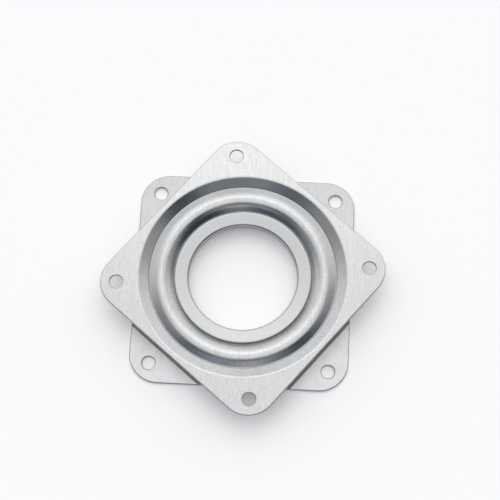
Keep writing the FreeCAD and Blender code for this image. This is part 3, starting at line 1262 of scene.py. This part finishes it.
@dataclass
class PhotoStudio:
    """White floor, soft surround light and the camera's place.

    Attributes:
        south: direction from the axis to the camera's side, degrees from -Y towards +X.
        tilt: the camera's lean from straight down, in degrees.
        roll: the picture's turn, in degrees.
        distance: from the camera to the point that it faces.
        target: height of that point on the axis.
        lens: focal length for a sensor 36 mm wide.
        shift: the lens's shift, as shares of the sensor's width.
        horizon: level of the surround at the floor's edge.
        zenith: its level straight above.
        brightness: strength of the whole surround.
        key: strength of the small lamp above the lower plate.
        key_width: the small lamp's width, in degrees.
        floor_reach: from the axis to the floor's edge, in metres.
    """

    south: float = 7.89
    tilt: float = 16.53
    roll: float = 4.75
    distance: float = 542.4
    target: float = 4.8
    lens: float = 110.5
    shift: tuple[float, float] = (0.0142, 0.056)
    horizon: float = 0.12
    zenith: float = 0.26
    brightness: float = 1.66
    key: float = 0.66
    key_width: float = 1.5
    floor_reach: float = 3.0

    def direction(self, azimuth: float, elevation: float) -> Vector:
        """Direction in the world.

        Args:
            azimuth: degrees from the camera's side towards its right hand.
            elevation: degrees above the floor.

        Returns:
            A unit vector.
        """
        turn = math.radians(azimuth - 90.0 + self.south)
        rise = math.radians(elevation)
        level = math.cos(rise)
        return Vector((level * math.cos(turn), level * math.sin(turn), math.sin(rise)))

    def place_camera(self) -> None:
        """Set up the camera at the photograph's angle."""
        data = bpy.data.cameras.new("photo_camera")
        data.sensor_width = 36.0
        data.lens = self.lens
        data.shift_x, data.shift_y = self.shift
        data.clip_start = 0.01
        data.clip_end = 20.0
        camera = bpy.data.objects.new("photo_camera", data)
        bpy.context.scene.collection.objects.link(camera)
        back = self.direction(0.0, 90.0 - self.tilt)
        right = self.direction(90.0, 0.0)
        up = back.cross(right)
        lean = math.radians(self.roll)
        side = math.cos(lean) * right - math.sin(lean) * up
        top = math.sin(lean) * right + math.cos(lean) * up
        turn = Matrix((side, top, back)).transposed().to_4x4()
        place = Vector((0.0, 0.0, self.target * MM)) + back * self.distance * MM
        camera.matrix_world = Matrix.Translation(place) @ turn
        bpy.context.scene.camera = camera

    def lay_floor(self) -> None:
        """Lay the floor that the bearing rests on."""
        made = bpy.data.meshes.new("floor")
        far = self.floor_reach
        corners = [(-far, -far, 0.0), (far, -far, 0.0), (far, far, 0.0), (-far, far, 0.0)]
        made.from_pydata(corners, [], [(0, 1, 2, 3)])
        made.materials.append(TABLE_TOP.material())
        floor = bpy.data.objects.new("floor", made)
        bpy.context.scene.collection.objects.link(floor)

    def patch_mask(
        self, tree: NodeTree, ray: NodeSocket, patch: SkyPatch
    ) -> NodeSocket:
        """Mask of a round patch of the surround.

        Args:
            tree: the world's tree.
            ray: the direction looked in.
            patch: the patch.

        Returns:
            The mask.
        """
        dot = tree.nodes.new("ShaderNodeVectorMath")
        dot.operation = "DOT_PRODUCT"
        tree.links.new(ray, dot.inputs[0])
        dot.inputs[1].default_value = self.direction(patch.azimuth, patch.elevation)
        faded, full = math.cos(math.radians(patch.rim)), math.cos(math.radians(patch.core))
        return ramp_node(tree, dot.outputs["Value"], faded, full)

    def light_world(self) -> None:
        """Surround the bearing with soft light: bright opposite the camera, dark on its side."""
        world = bpy.data.worlds.new("light_tent")
        world.use_nodes = True
        bpy.context.scene.world = world
        tree = world.node_tree
        shade = tree.nodes["Background"]
        ray = tree.nodes.new("ShaderNodeTexCoord").outputs["Generated"]
        split = tree.nodes.new("ShaderNodeSeparateXYZ")
        tree.links.new(ray, split.inputs[0])
        level = ramp_node(tree, split.outputs["Z"], 0.0, 1.0, self.horizon, self.zenith)
        for lamp in LAMPS:
            mask = self.patch_mask(tree, ray, lamp)
            level = math_node(tree, "ADD", level, math_node(tree, "MULTIPLY", mask, lamp.amount))
        for gap in GAPS:
            mask = self.patch_mask(tree, ray, gap)
            keep = math_node(tree, "SUBTRACT", 1.0, math_node(tree, "MULTIPLY", mask, gap.amount))
            level = math_node(tree, "MULTIPLY", level, keep)
        strength = math_node(tree, "MULTIPLY", level, self.brightness)
        tree.links.new(strength, shade.inputs["Strength"])
        tint = mix_colour(tree, ramp_node(tree, level, *TINT_LEVELS), DIM_LIGHT, FULL_LIGHT)
        for patch in COOL_PATCHES:
            tint = mix_colour(tree, self.patch_mask(tree, ray, patch), tint, COOL_LIGHT)
        tree.links.new(tint, shade.inputs["Color"])

    def light_lower_plate(self, plate: Object) -> None:
        """Hang a small lamp above for the lower plate only, which the upper one shades crisply.

        Args:
            plate: the lower plate's piece.
        """
        data = bpy.data.lights.new("overhead_key", "SUN")
        data.energy = self.key
        data.angle = math.radians(self.key_width)
        lamp = bpy.data.objects.new("overhead_key", data)
        bpy.context.scene.collection.objects.link(lamp)
        lit = bpy.data.collections.new("overhead_key_lights")
        lit.objects.link(plate)
        lamp.light_linking.receiver_collection = lit

    def build(self) -> None:
        """Set the whole studio."""
        self.place_camera()
        self.lay_floor()
        self.light_world()
        bpy.context.scene.view_settings.view_transform = "Standard"


def main() -> None:
    """Build the studio and every sub-assembly in order."""
    logging.basicConfig(level=logging.INFO, format="%(name)s %(message)s")
    studio = PhotoStudio()
    studio.build()
    grain = rolled_grain_group()
    marks = press_marks_and_crease_shade_group()
    upper_edge_shaded = UPPER_EDGE_SHADED.material()
    lower_edge_lit = LOWER_EDGE_LIT.material()
    ring_tree = swept_ring_tree()
    bottom = PressedPlate("bottom_plate", "base", Face.DOWN, 0.0)
    top = PressedPlate("top_plate", "turntable", Face.UP, SHOWN_TURN)
    bottom_piece = bottom.build(ring_tree, LOWER_SHEET.material(grain, marks), lower_edge_lit)
    studio.light_lower_plate(bottom_piece)
    BallRing(bottom).build(ball_race_tree(), BALL_STEEL.material())
    top.build(ring_tree, UPPER_SHEET.material(grain, marks), upper_edge_shaded)
    CentreEyelet(bottom).build(ring_tree, EYELET_SHEET.material(grain, marks), lower_edge_lit)


if __name__ == "__main__":
    main()
